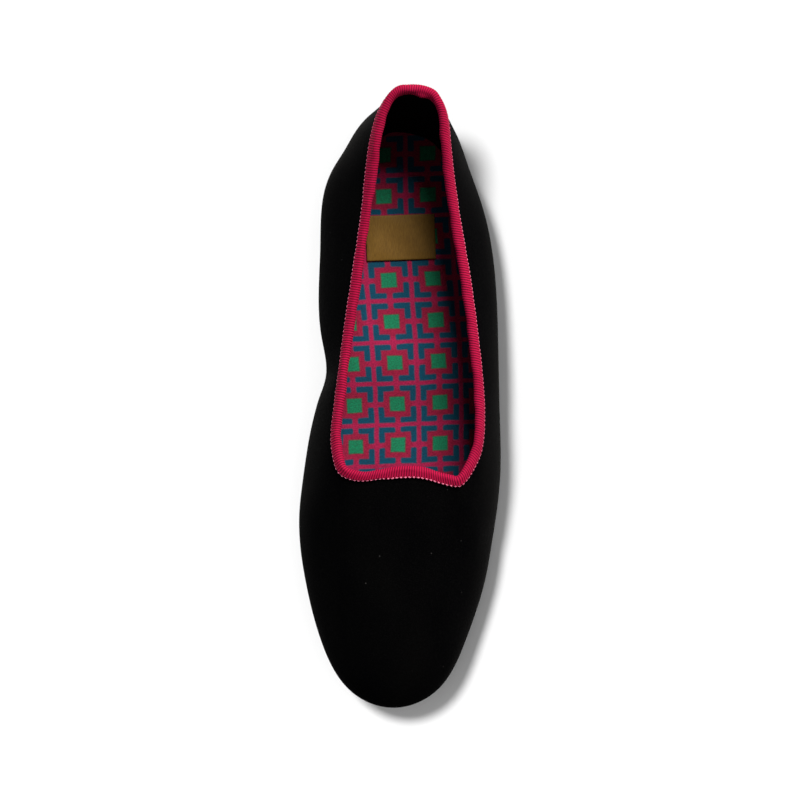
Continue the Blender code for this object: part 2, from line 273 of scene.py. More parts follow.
# Studio, in metres. Lamps: name, kind, place, power, size (a sun's is its angle in degrees) and colour.
WHITE = (1.0, 1.0, 1.0)
SLIPPER_LAMPS = (
    ("key", "AREA", (0.44, 1.15, 1.15), 53.0, 0.9, WHITE),
    ("outer_side", "AREA", (1.3, 0.1, 0.6), 6.0, 0.5, WHITE),
    ("inner_side", "AREA", (-1.3, 0.1, 0.6), 3.5, 0.5, (0.6, 0.8, 1.0)),
)
FLOOR_LAMPS = (
    ("floor_light", "SUN", (-0.29, 0.33, 1.0), 2.8, 11.0, WHITE),
    ("floor_glow", "SUN", (-0.1, 0.1, 1.0), 1.0, 120.0, WHITE),
)
WORLD_STRENGTH = 0.10
FLOOR_HALF = 15.0
FLOOR_GREY = 0.9
CAMERA_HEIGHT = 1.6
CAMERA_LENS = 170.0
CAMERA_SENSOR = 36.0


def smooth(share):
    """Eases from 0 to 1."""
    share = np.clip(share, 0.0, 1.0)
    return share * share * (3.0 - 2.0 * share)


def waves(turn, table):
    """Unevenness round the slipper, from rows of cycles, height and phase."""
    return sum(height * np.sin(cycles * turn + phase) for cycles, height, phase in table)


def hill(x, y, spot):
    """1 at a spot seen from above, easing to 0 over its half widths."""
    return np.exp(-(((x - spot["x"]) / spot["half_x"]) ** 2) - ((y - spot["y"]) / spot["half_y"]) ** 2)


def sole_bottom(y):
    """Height of the sole's underside."""
    arch = (HEEL_FLAT_FRONT - y) / (HEEL_FLAT_FRONT - FOREFOOT_FLAT_BACK)
    toe = (FOREFOOT_FLAT_FRONT - y) / (FOREFOOT_FLAT_FRONT - TOE_TIP)
    lift = ARCH_LIFT * np.sin(np.pi * np.clip(arch, 0.0, 1.0)) ** 2
    return lift + TOE_SPRING * np.clip(toe, 0.0, None) ** 2


def sole_top(y):
    """Height of the face that the upper and the insole stand on."""
    forward = smooth((HEEL_FLAT_FRONT - y) / (HEEL_FLAT_FRONT - FOREFOOT_FLAT_BACK))
    return sole_bottom(y) + HEEL_THICKNESS + (FOREFOOT_THICKNESS - HEEL_THICKNESS) * forward


def insole_base(y):
    return sole_top(y) + GAP


def insole_height(y):
    return insole_base(y) + INSOLE_THICKNESS


def closed_spline(knots, period, rows, places):
    """A smooth closed curve through the rows, one row at each knot, read at the places asked for."""
    steps = np.diff(np.append(knots, knots[0] + period))
    slopes = (np.roll(rows, -1, axis=0) - rows) / steps[:, None]
    count = len(knots)
    system = np.zeros((count, count))
    for i in range(count):
        system[i, i - 1] += steps[i - 1]
        system[i, i] += 2.0 * (steps[i - 1] + steps[i])
        system[i, (i + 1) % count] += steps[i]
    bends = np.linalg.solve(system, 6.0 * (slopes - np.roll(slopes, 1, axis=0)))
    places = np.mod(places, period)
    span = np.searchsorted(knots, places, side="right") - 1
    after = (span + 1) % count
    along = (places - knots[span])[:, None]
    left = (knots[span] + steps[span] - places)[:, None]
    step = steps[span][:, None]
    return (
        bends[span] * left**3 / (6.0 * step)
        + bends[after] * along**3 / (6.0 * step)
        + (rows[span] / step - bends[span] * step / 6.0) * left
        + (rows[after] / step - bends[after] * step / 6.0) * along
    )


def table_sections(turns):
    """Side, sole and feather outlines and the collar, at shares of the way round the slipper."""
    rows = np.array(list(WALL_SECTIONS.values()))
    chords = np.linalg.norm(np.roll(rows[:, :2], -1, axis=0) - rows[:, :2], axis=1)
    knots = np.concatenate([[0.0], np.cumsum(chords)[:-1]])
    period = chords.sum()
    values = closed_spline(knots, period, rows, turns * period)
    ahead = closed_spline(knots, period, rows[:, :2], turns * period + TANGENT_STEP)
    behind = closed_spline(knots, period, rows[:, :2], turns * period - TANGENT_STEP)
    tangent = ahead - behind
    tangent /= np.linalg.norm(tangent, axis=1)[:, None]
    outward = np.stack([-tangent[:, 1], tangent[:, 0]], axis=1)
    side = values[:, :2]
    overhang = values[:, 2:3]
    return {
        "outward": outward,
        "side": side,
        "sole": side - outward * overhang,
        "feather": side - outward * np.maximum(overhang + FEATHER_INSET, LEAST_SWELL),
        "collar": values[:, 3:],
    }


def sections_at(turns):
    """The table's sections, with the sole and the feather evened out where they turn round the heel."""
    found = table_sections(turns)
    shifts = np.linspace(-1.0, 1.0, EASING_SAMPLES)[1:-1]
    weights = (1.0 - np.abs(shifts)) / np.sum(1.0 - np.abs(shifts))
    nearby = [table_sections(turns + shift * HEEL_EASED_REACH) for shift in shifts]
    share = smooth((found["side"][:, 1:] - HEEL_EASED_FROM_Y) / HEEL_EASED_OVER)
    for name in ("sole", "feather", "outward"):
        even = sum(weight * other[name] for weight, other in zip(weights, nearby))
        found[name] = found[name] + (even - found[name]) * share
    found["outward"] /= np.linalg.norm(found["outward"], axis=1)[:, None]
    return found


def evenly(count):
    return np.arange(count) / count


def raised(plan, height):
    """Plan points with a height each."""
    return np.column_stack([plan, np.broadcast_to(height, len(plan))])


def inset_outline(sections, name, inset):
    """One of the outlines seen from above, moved in by this much."""
    return sections[name] - sections["outward"] * np.reshape(inset, (-1, 1))


def heel_pad(sections):
    """How much thicker the lined wall is round the heel, at its foot."""
    return HEEL_PAD * smooth((sections["feather"][:, 1] - HEEL_PAD_FROM_Y) / HEEL_PAD_OVER)


def wall_grid(sections, lower_steps, upper_steps):
    """Points of the upper's outer face: a line for each section, from the sole's edge up to the collar."""
    feather = raised(sections["feather"], sole_top(sections["feather"][:, 1]) + GAP)
    side = raised(sections["side"], sole_top(sections["side"][:, 1]) + SIDE_RISE)
    collar = sections["collar"]
    reach = np.linalg.norm(collar[:, :2] - side[:, :2], axis=1)
    vamp = smooth((reach - WALL_REACH) / (VAMP_REACH - WALL_REACH))
    straightness = WALL_STRAIGHTNESS + (VAMP_STRAIGHTNESS - WALL_STRAIGHTNESS) * vamp
    power = 2.0 / (WALL_FULLNESS + (VAMP_FULLNESS - WALL_FULLNESS) * vamp)
    lines = []
    for turn in np.linspace(0.0, np.pi / 2, lower_steps, endpoint=False):
        shares = np.array([np.sin(turn), np.sin(turn), 1.0 - np.cos(turn)])
        lines.append(feather + (side - feather) * shares)
    for turn in np.linspace(0.0, np.pi / 2, upper_steps + 1):
        inward = 1.0 - np.maximum(np.cos(turn), 0.0) ** power
        upward = (1.0 - straightness) * np.sin(turn) ** power + straightness * inward
        lines.append(side + (collar - side) * np.column_stack([inward, inward, upward]))
    return np.stack(lines, axis=1)


def outward_normals(grid):
    """Unit normals of a grid that closes round its first axis."""
    around = np.roll(grid, -1, axis=0) - np.roll(grid, 1, axis=0)
    normals = np.cross(np.gradient(grid, axis=1), around)
    return normals / np.linalg.norm(normals, axis=2)[:, :, None]


def below_collar(grid, distances):
    """The points of each wall line at distances below the collar's edge, and the wall's normals there."""
    values = np.concatenate([grid, outward_normals(grid)], axis=2)[:, ::-1]
    steps = np.linalg.norm(np.diff(values[:, :, :3], axis=1), axis=2)
    lengths = np.column_stack([np.zeros(len(grid)), np.cumsum(steps, axis=1)])
    found = np.array([
        [np.interp(distances, length, column) for column in line.T]
        for length, line in zip(lengths, values)
    ])
    points = found[:, :3].transpose(2, 0, 1)
    normals = found[:, 3:].transpose(2, 0, 1)
    return points, normals / np.linalg.norm(normals, axis=2)[:, :, None]


def mesh_piece(name, points, faces, look, slot=None, replaced=()):
    """A smooth mesh from points in millimetres, riding on the slipper's one body."""
    mesh = bpy.data.meshes.new(name)
    corners = [list(map(int, face)) for face in faces]
    mesh.from_pydata((np.asarray(points) * MM).tolist(), [], corners)
    mesh.materials.append(look)
    mesh.shade_smooth()
    made = bpy.data.objects.new(name, mesh)
    bpy.context.scene.collection.objects.link(made)
    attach(made, "root")
    if replaced:
        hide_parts(*replaced)
    return made


def grid_faces(around, across, closed_across=False):
    """Quads over a grid that closes round its first axis."""
    i = np.arange(around)[:, None]
    k = np.arange(across if closed_across else across - 1)[None, :]
    after_i = (i + 1) % around
    after_k = (k + 1) % across
    corners = [i * across + k, i * across + after_k, after_i * across + after_k, after_i * across + k]
    return np.stack(corners, axis=-1).reshape(-1, 4)


def applied(piece):
    """Makes the piece's modifiers part of its mesh."""
    evaluated = piece.evaluated_get(bpy.context.evaluated_depsgraph_get())
    shape = bpy.data.meshes.new_from_object(evaluated)
    piece.modifiers.clear()
    old = piece.data
    piece.data = shape
    bpy.data.meshes.remove(old)
    shape.name = piece.name


def share_attribute(piece, name, values):
    """A number for each vertex, for the material to read."""
    layer = piece.data.attributes.new(name, "FLOAT", "POINT")
    layer.data.foreach_set("value", np.asarray(values, np.float32).ravel())


# Materials


def material(name, colour, roughness, **more):
    """A Principled material with its even values on the shader's own sockets."""
    made = bpy.data.materials.new(name)
    made.use_nodes = True
    shader = made.node_tree.nodes["Principled BSDF"]
    shader.inputs["Base Color"].default_value = (*colour, 1.0)
    shader.inputs["Roughness"].default_value = roughness
    for socket, value in more.items():
        shader.inputs[socket.replace("_", " ")].default_value = value
    return made


def node(made, kind, inputs, output=0, **settings):
    """Adds a node, its inputs numbers or other nodes' outputs, and returns one of its outputs."""
    added = made.node_tree.nodes.new(kind)
    for name, value in settings.items():
        setattr(added, name, value)
    for key, value in inputs.items():
        socket = added.inputs[key]
        if isinstance(value, bpy.types.NodeSocket):
            made.node_tree.links.new(value, socket)
        elif isinstance(value, tuple) and socket.type == "RGBA":
            socket.default_value = (*value, 1.0)
        else:
            socket.default_value = value
    return added.outputs[output]


def calc(made, operation, *values):
    """A Math node."""
    return node(made, "ShaderNodeMath", dict(enumerate(values)), operation=operation)


def vector(made, operation, *values):
    """A Vector Math node."""
    return node(made, "ShaderNodeVectorMath", dict(enumerate(values)), operation=operation)


def blended(made, share, first, second):
    """A colour mix."""
    return node(made, "ShaderNodeMix", {0: share, 6: first, 7: second}, 2, data_type="RGBA")


def ranged(made, value, low, high, to_low=0.0, to_high=1.0, ease="LINEAR"):
    """A Map Range node."""
    names = ("Value", "From Min", "From Max", "To Min", "To Max")
    inputs = dict(zip(names, (value, low, high, to_low, to_high)))
    return node(made, "ShaderNodeMapRange", inputs, interpolation_type=ease)


def millimetres(made):
    """The place on the piece in millimetres."""
    place = node(made, "ShaderNodeTexCoord", {}, "Object")
    return node(made, "ShaderNodeVectorMath", {0: place, "Scale": 1.0 / MM}, operation="SCALE")


def noise(made, place, size, detail=2.0, output=0):
    """Noise with features of about this size in millimetres."""
    inputs = {"Vector": place, "Scale": 1.0 / size, "Detail": detail}
    return node(made, "ShaderNodeTexNoise", inputs, output)


def bumped(made, height, depth, earlier=None):
    """A bump of a real depth in millimetres."""
    inputs = {"Height": height, "Distance": depth * MM, "Strength": 1.0}
    if earlier:
        inputs["Normal"] = earlier
    return node(made, "ShaderNodeBump", inputs)


def joined(made, **sockets):
    """Links outputs to the shader's sockets."""
    shader = made.node_tree.nodes["Principled BSDF"]
    for name, value in sockets.items():
        made.node_tree.links.new(value, shader.inputs[name.replace("_", " ")])


def velvet_material():
    """Black short-pile velvet: brushed patches, painted light that makes the upright walls paler, and a
    little lint.
    """
    made = material(
        "velvet", (0.0012, 0.0012, 0.0014), 0.9,
        Specular_IOR_Level=0.01, Sheen_Weight=0.012, Sheen_Roughness=0.3,
        Sheen_Tint=(1.0, 0.93, 0.86, 1.0),
    )
    place = millimetres(made)
    brushed = vector(made, "MULTIPLY", place, (1.0, 0.35, 1.0))
    patches = ranged(made, noise(made, brushed, 22.0, 3.0), 0.35, 0.68)
    pile = noise(made, place, 0.45, 3.0)
    # Painted light: walls facing sideways get a lighter colour, standing in for the sheen that lights the
    # velvet's flanks.
    facing = node(made, "ShaderNodeNewGeometry", {}, "Normal")
    flank_light_share = ranged(made, node(made, "ShaderNodeSeparateXYZ", {0: facing}, "Z"), 0.62, 0.1)
    top_facing_tone = blended(made, patches, (0.0003, 0.0003, 0.0005), (0.0013, 0.0012, 0.0012))
    painted_flank_light = blended(made, patches, (0.0015, 0.0014, 0.0015), (0.0034, 0.0032, 0.0031))
    patches_and_flank_light = blended(made, flank_light_share, top_facing_tone, painted_flank_light)
    tone = blended(made, ranged(made, pile, 0.45, 0.85, 0.0, 0.5), patches_and_flank_light, (0.0060, 0.0056, 0.0053))
    cells = {"Vector": place, "Scale": 1.0 / LINT_SPACING, "Randomness": 1.0}
    near = node(made, "ShaderNodeTexVoronoi", cells, "Distance")
    cell = node(made, "ShaderNodeTexVoronoi", cells, "Color")
    chance = node(made, "ShaderNodeSeparateColor", {"Color": cell}, "Red")
    strength = ranged(made, chance, 0.4, 1.0, 0.0, 0.55)
    lint = calc(made, "MULTIPLY", strength, ranged(made, near, 0.05, 0.035))
    tone = blended(made, lint, tone, (0.07, 0.065, 0.06))
    joined(made, Base_Color=tone, Normal=bumped(made, pile, 0.12))
    return made


def lining_material():
    """Black plain-woven lining."""
    made = material("lining", (0.002, 0.002, 0.002), 0.9, Specular_IOR_Level=0.05)
    place = millimetres(made)
    weave = noise(made, place, 0.6, 2.0)
    joined(
        made,
        Base_Color=blended(made, weave, (0.0010, 0.0010, 0.0012), (0.0042, 0.0040, 0.0042)),
        Normal=bumped(made, weave, 0.1),
    )
    return made


def ribbon_material():
    """Raspberry grosgrain: painted shade darkens the rib valleys against the brighter crests, with fine
    threads across.
    """
    made = material(
        "grosgrain", (0.40, 0.006, 0.040), 0.7,
        Specular_IOR_Level=0.04, Sheen_Weight=0.03, Sheen_Roughness=0.4,
        Sheen_Tint=(1.0, 0.2, 0.4, 1.0),
    )
    place = millimetres(made)
    rib = node(made, "ShaderNodeAttribute", {}, "Fac", attribute_name="rib")
    thread = noise(made, place, 0.28, 2.0)
    shade = noise(made, place, 9.0, 2.0)
    # Painted shade: the colour darkens towards each rib's valley, where shade falls between the ribs.
    rib_painted_shade_share = ranged(made, rib, 0.15, 0.95)
    tone = blended(made, rib_painted_shade_share, (0.086, 0.0011, 0.0095), (0.45, 0.0056, 0.048))
    tone = blended(made, ranged(made, thread, 0.4, 0.75, 0.0, 0.25), tone, (0.52, 0.016, 0.075))
    tone = blended(made, ranged(made, shade, 0.4, 0.7, 0.0, 0.25), tone, (0.26, 0.003, 0.026))
    joined(made, Base_Color=tone, Normal=bumped(made, thread, 0.05))
    return made


def selvedge_material():
    """The ribbon's looped edge thread, a little paler than the ribbon."""
    made = material("selvedge", (0.50, 0.07, 0.14), 0.7, Specular_IOR_Level=0.15)
    place = millimetres(made)
    thread = noise(made, place, 0.35, 2.0)
    joined(made, Base_Color=blended(made, thread, (0.58, 0.06, 0.14), (0.90, 0.27, 0.39)))
    return made


def print_material():
    """Raspberry cotton printed with green squares in teal corner brackets."""
    made = material("insole_print", (0.36, 0.018, 0.055), 0.9, Specular_IOR_Level=0.05)
    place = millimetres(made)
    wander = vector(made, "SUBTRACT", noise(made, place, 9.0, 1.0, "Color"), (0.5, 0.5, 0.5))
    wander = node(made, "ShaderNodeVectorMath", {0: wander, "Scale": PRINT_WANDER}, operation="SCALE")
    split = node(made, "ShaderNodeSeparateXYZ", {0: vector(made, "ADD", place, wander)}, "X").node
    x, y = split.outputs["X"], split.outputs["Y"]

    def along_foot(columns, name):
        return ranged(made, y, columns["from_y"], columns["to_y"], *columns[name], "SMOOTHSTEP")

    column = calc(made, "SUBTRACT", x, along_foot(PRINT_DRAWN, "x"))
    across = calc(made, "DIVIDE", column, along_foot(PRINT_COLUMN_PITCH, "pitch"))
    row = calc(made, "SUBTRACT", y, PRINT_FIRST_ROW)
    row = calc(made, "SUBTRACT", row, along_foot(PRINT_SHIFTED, "y"))
    row = calc(made, "SUBTRACT", row, calc(made, "MULTIPLY", x, PRINT_ROW_SLOPE))
    along = calc(made, "DIVIDE", row, PRINT_ROW_PITCH)

    def from_middle(value):
        return calc(made, "ABSOLUTE", calc(made, "WRAP", value, 0.5, -0.5))

    across, along = from_middle(across), from_middle(along)
    ring = calc(made, "MAXIMUM", across, along)
    arm = calc(made, "MINIMUM", across, along)

    def within(value, edge):
        return ranged(made, value, edge + PRINT_SOFTNESS / 2, edge - PRINT_SOFTNESS / 2)

    square = within(ring, SQUARE_HALF)
    past_end = calc(made, "MAXIMUM", calc(made, "SUBTRACT", BRACKET_END, arm), 0.0)
    off_ring = calc(made, "ABSOLUTE", calc(made, "SUBTRACT", ring, BRACKET_RING))
    past_side = calc(made, "SUBTRACT", off_ring, BRACKET_HALF - BRACKET_ROUND)
    past_side = calc(made, "MAXIMUM", past_side, 0.0)
    past = calc(made, "ADD", calc(made, "POWER", past_end, 2.0), calc(made, "POWER", past_side, 2.0))
    bracket = within(calc(made, "SQRT", past), BRACKET_ROUND)
    grain = noise(made, place, 0.55, 2.0)
    fade = noise(made, place, 14.0, 2.0)
    lattice = blended(made, fade, (0.335, 0.011, 0.050), (0.435, 0.019, 0.083))
    frame_round_square = blended(made, fade, (0.270, 0.010, 0.034), (0.350, 0.017, 0.056))
    tone = blended(made, ranged(made, ring, 0.44, 0.30), lattice, frame_round_square)
    tone = blended(made, bracket, tone, (0.003, 0.066, 0.112))
    tone = blended(made, square, tone, (0.011, 0.202, 0.090))
    rim = calc(made, "MULTIPLY", square, calc(made, "SUBTRACT", 1.0, square))
    rim = calc(made, "MULTIPLY", rim, 1.6)
    tone = blended(made, rim, tone, (0.03, 0.02, 0.02))
    tone = blended(made, ranged(made, grain, 0.32, 0.72, 0.0, 0.48), tone, (0.02, 0.006, 0.012))
    joined(made, Base_Color=tone, Normal=bumped(made, grain, 0.12))
    return made


def label_material():
    """Bare gold satin label, woven in fine lines."""
    made = material("label_satin", (0.20, 0.11, 0.025), 0.6, Specular_IOR_Level=0.15)
    place = millimetres(made)
    stretched = vector(made, "MULTIPLY", place, (1.0, 0.15, 1.0))
    thread = noise(made, stretched, 0.3, 2.0)
    tone = noise(made, place, 8.0, 2.0)
    colour = blended(made, tone, (0.145, 0.071, 0.0090), (0.205, 0.106, 0.0160))
    dark = ranged(made, thread, 0.35, 0.7, 0.0, 0.45)
    colour = blended(made, dark, colour, (0.070, 0.034, 0.0045))
    joined(made, Base_Color=colour, Normal=bumped(made, thread, 0.08))
    return made


def rubber_material(name, grain_depth, roughness):
    """Black moulded rubber, pebbled where it isn't tread, with its sharp edges eased."""
    made = material(name, (0.006, 0.006, 0.006), roughness, Specular_IOR_Level=0.25)
    place = millimetres(made)
    eased = node(made, "ShaderNodeBevel", {"Radius": EDGE_EASING * MM}, samples=4)
    cells = {"Vector": place, "Scale": 1.0 / PEBBLE_SIZE, "Smoothness": 0.3}
    pebble = node(made, "ShaderNodeTexVoronoi", cells, "Distance", feature="SMOOTH_F1")
    dust = noise(made, place, 6.0, 3.0)
    joined(
        made,
        Base_Color=blended(made, dust, (0.0045, 0.0045, 0.0045), (0.0095, 0.0095, 0.0090)),
        Roughness=ranged(made, dust, 0.3, 0.7, roughness - 0.07, roughness + 0.08),
        Normal=bumped(made, pebble, grain_depth, eased),
    )
    return made


# Pieces


def upper_piece(look, lining):
    """The velvet wall and its lining, with the creases pressed into it."""
    around, lower, upper = UPPER_AROUND, UPPER_LOWER_STEPS, UPPER_UPPER_STEPS
    sections = sections_at(evenly(around))
    grid = wall_grid(sections, lower, upper)
    normal = outward_normals(grid)
    depth = np.zeros(grid.shape[:2])
    for start, end, half_width, deep in CREASES.values():
        start = np.array(start)
        run = np.array(end) - start
        share = np.clip(((grid - start) @ run) / (run @ run), 0.0, 1.0)
        away = np.linalg.norm(grid - (start + share[:, :, None] * run), axis=2)
        depth += deep * np.exp(-((away / half_width) ** 2))
    low = 1.0 - smooth(np.arange(lower + upper + 1) / lower)
    turn = 2.0 * np.pi * evenly(around)
    gathers = 0.5 + waves(turn, GATHER_WAVES)
    depth += GATHER_DEPTH * gathers[:, None] * (4.0 * low * (1.0 - low))[None, :]
    hem = 1.0 - np.linspace(0.0, 1.0, upper + 1)
    settle = np.concatenate([np.zeros(lower), np.exp(-((hem * HEM_SHARPNESS) ** 2))])
    depth *= 1.0 - settle[None, :]
    outer = grid - normal * depth[:, :, None]
    inner = outer - normal * WALL
    up = (grid[:, :, 2] - HEEL_PAD_FOOT) / (HEEL_PAD_TOP - HEEL_PAD_FOOT)
    pad = heel_pad(sections)[:, None] * (1.0 - smooth(up))
    inner[:, :, :2] -= sections["outward"][:, None, :] * pad[:, :, None]
    wall = np.concatenate([outer, inner[:, ::-1]], axis=1)
    faces = grid_faces(around, wall.shape[1], True)
    piece = mesh_piece("upper_velvet", wall.reshape(-1, 3), faces, look, "velvet", ["upper"])
    piece.data.materials.append(lining)
    lined = np.tile(np.arange(wall.shape[1]) >= lower + upper, around)
    piece.data.polygons.foreach_set("material_index", lined.astype(np.int32))


def collar_run():
    """Even places along the collar's edge, for a whole number of ribs, and the edge's length."""
    fine = evenly(COLLAR_FINE_STEPS)
    edge = sections_at(fine)["collar"]
    steps = np.linalg.norm(np.roll(edge, -1, axis=0) - edge, axis=1)
    length = steps.sum()
    ribs = int(round(length / RIB_PITCH))
    covered = np.concatenate([[0.0], np.cumsum(steps)])
    return np.interp(evenly(ribs * RIB_SAMPLES) * length, covered, np.append(fine, 1.0)), length


def ribbon_legs(edge, turn):
    """The outer leg's length all along the collar, and where the throat's front is, from 0 to 1."""
    x, y = edge[:, 0], edge[:, 1]
    least = LEG_HEEL["least"]
    wide = smooth((y - LEG_HEEL["from_y"]) / LEG_HEEL["over"])
    wide *= least + (1.0 - least) * smooth((LEG_HEEL["outer_x"] - x) / LEG_HEEL["across"])
    over = LEG_FRONT["over"]
    front = smooth((x - LEG_FRONT["from_x"]) / over) * smooth((LEG_FRONT["to_x"] - x) / over)
    front *= y < LEG_FRONT["back_y"]
    leg = OUTER_LEG + (OUTER_LEG_HEEL - OUTER_LEG) * wide + (OUTER_LEG_FRONT - OUTER_LEG) * front
    leg += (OUTER_LEG_CORNER - OUTER_LEG) * hill(x, y, LEG_CORNER) + waves(turn, LEG_WAVES)
    return leg, front


def ribbon_fold(edge):
    """The thickness that the ribbon wraps: less on the inner side of the heel, up to the tuck's lump."""
    y = edge[:, 1]
    inner_side = edge[:, 0] < 0.0
    narrow = smooth((y - FOLD_NARROW["from_y"]) / FOLD_NARROW["from_over"])
    narrow *= smooth((FOLD_NARROW["to_y"] - y) / FOLD_NARROW["to_over"])
    tuck = np.exp(-(((y - TUCK_Y) / TUCK_HALF) ** 2))
    return WALL + FOLD_FULLNESS + inner_side * (TUCK_HEIGHT * tuck - FOLD_NARROWED * narrow)


def ribbon_pieces(look, selvedge_look):
    """The grosgrain folded over the collar, with real cross ribs, and its looped outer edge."""
    places, length = collar_run()
    count = len(places)
    grid = wall_grid(sections_at(places), *RIBBON_WALL_STEPS)
    turn = 2.0 * np.pi * evenly(count)
    shares = np.linspace(1.0, 0.0, LEG_STEPS + 1)
    down, down_normal = below_collar(grid, shares * RIBBON_LEG)
    edge, normal = down[-1], down_normal[-1]
    upward = edge - down[0]
    upward /= np.linalg.norm(upward, axis=1)[:, None]
    lift = GAP + RIBBON
    wrapped = ribbon_fold(edge)[:, None]
    middle = edge - normal * (wrapped / 2 + waves(turn, FOLD_WAVES)[:, None])
    leg, front = ribbon_legs(edge, turn)
    shorter = (RIBBON_LEG - leg)[:, None]
    flat = []
    for k, share in enumerate(shares):
        flat.append((down[k] + upward * share * shorter + down_normal[k] * lift, down_normal[k]))
    for angle in np.linspace(0.0, np.pi, FOLD_STEPS + 1)[1:-1]:
        way = np.cos(angle) * normal + np.sin(angle) * upward
        flat.append((middle + way * (wrapped / 2 + lift), way))
    join = JOIN_BULGE * np.exp(-(((edge[:, 0] - JOIN_X) / JOIN_HALF) ** 2))
    join *= edge[:, 1] > JOIN_FRONT_Y
    for k in range(LEG_STEPS, -1, -1):
        swell = (join * np.sin(np.pi * (JOIN_START + JOIN_SPAN * shares[k])))[:, None]
        flat.append((down[k] - down_normal[k] * (wrapped + lift + swell), -down_normal[k]))
    rows = []
    crests = []
    run = 0.0
    for k, (place, way) in enumerate(flat):
        if k:
            run += np.median(np.linalg.norm(place - flat[k - 1][0], axis=1))
        phase = np.arange(count) / RIB_SAMPLES + RIB_SLANT * run
        crests.append(0.5 - 0.5 * np.cos(2.0 * np.pi * phase))
        rows.append(place + way * (RIB_HEIGHT * crests[-1])[:, None])
    for place, way in flat[::-2]:
        crests.append(np.full(count, 0.5))
        rows.append(place - way * RIBBON)
    strip = np.stack(rows, axis=1)
    faces = grid_faces(count, len(rows), True)
    points = strip.reshape(-1, 3)
    piece = mesh_piece("collar_ribbon", points, faces, look, "grosgrain", ["collar_binding"])
    share_attribute(piece, "rib", np.stack(crests, axis=1))

    bulge = np.sin(np.pi * round(length / LOOP_PITCH) * evenly(count)) ** 2
    radius = LOOP_RADIUS * (1.0 + FRONT_LOOP_GAIN * front) * (LOOP_THIN + LOOP_SWELL * bulge)
    radius = radius[:, None]
    shift = (FRONT_LOOP_SHIFT * front - LOOP_REACH * bulge)[:, None]
    centre = flat[0][0] - down_normal[0] * (RIBBON * LOOP_SUNK) + upward * shift
    loops = []
    for angle in 2.0 * np.pi * evenly(LOOP_SIDES):
        loops.append(centre + radius * (np.cos(angle) * down_normal[0] + np.sin(angle) * upward))
    loops = np.stack(loops, axis=1)
    faces = grid_faces(count, LOOP_SIDES, True)
    mesh_piece("ribbon_selvedge", loops.reshape(-1, 3), faces, selvedge_look, "grosgrain")


def plate_mesh(rings, underside, top, rung_steps):
    """A closed plate from rings that run from its underside, round its edge, to its top."""
    around = len(rings[0])
    across = len(rings)
    points = list(np.stack(rings, axis=1).reshape(-1, 3))
    faces = [tuple(face) for face in grid_faces(around, across)]
    half = around // 2
    for ring, height, flip in ((0, underside, True), (across - 1, top, False)):
        rim = [i * across + ring for i in range(around)]
        rungs = [[rim[0]] * (rung_steps + 1)]
        for i in range(1, half):
            start, end = points[rim[i]], points[rim[-i]]
            rung = [rim[i]]
            for share in np.linspace(0.0, 1.0, rung_steps + 1)[1:-1]:
                x, y = (start + (end - start) * share)[:2]
                points.append(np.array([x, y, height(x, y)]))
                rung.append(len(points) - 1)
            rungs.append(rung + [rim[-i]])
        rungs.append([rim[half]] * (rung_steps + 1))
        for rung, following in zip(rungs, rungs[1:]):
            for k in range(rung_steps):
                around_face = (rung[k], rung[k + 1], following[k + 1], following[k])
                corners = list(dict.fromkeys(around_face))
                faces.append(tuple(corners[::-1] if flip else corners))
    return np.array(points), faces


def sock_height(x, y):
    """The insole's top: dished a little where the heel and the ball press."""
    dished = sum(dish["depth"] * hill(x, y, dish) for dish in (HEEL_DISH, BALL_DISH))
    return insole_height(y) - dished + SOCK_RIPPLE * np.sin(SOCK_RIPPLE_WAY[0] * x + SOCK_RIPPLE_WAY[1] * y)


def insole_piece(look):
    """The printed sock on its board."""
    sections = sections_at(evenly(INSOLE_AROUND))
    pad = heel_pad(sections)
    edge = inset_outline(sections, "feather", INSOLE_CLEARANCE + pad)
    base = insole_base(edge[:, 1])
    rings = [raised(edge, base), raised(edge, base + INSOLE_BOARD)]
    for turn in np.linspace(0.0, np.pi / 2, INSOLE_EDGE_STEPS):
        inset = SOCK_ROUND * (1.0 - np.cos(turn)) - SOCK_LIP + pad
        plan = inset_outline(sections, "feather", inset)
        top = sock_height(plan[:, 0], plan[:, 1]) - SOCK_ROUND * (1.0 - np.sin(turn))
        rings.append(raised(plan, top))
    points, faces = plate_mesh(rings, lambda x, y: insole_base(y), sock_height, INSOLE_RUNG_STEPS)
    mesh_piece("insole_sock", points, faces, look, "insole_print", ["insole"])


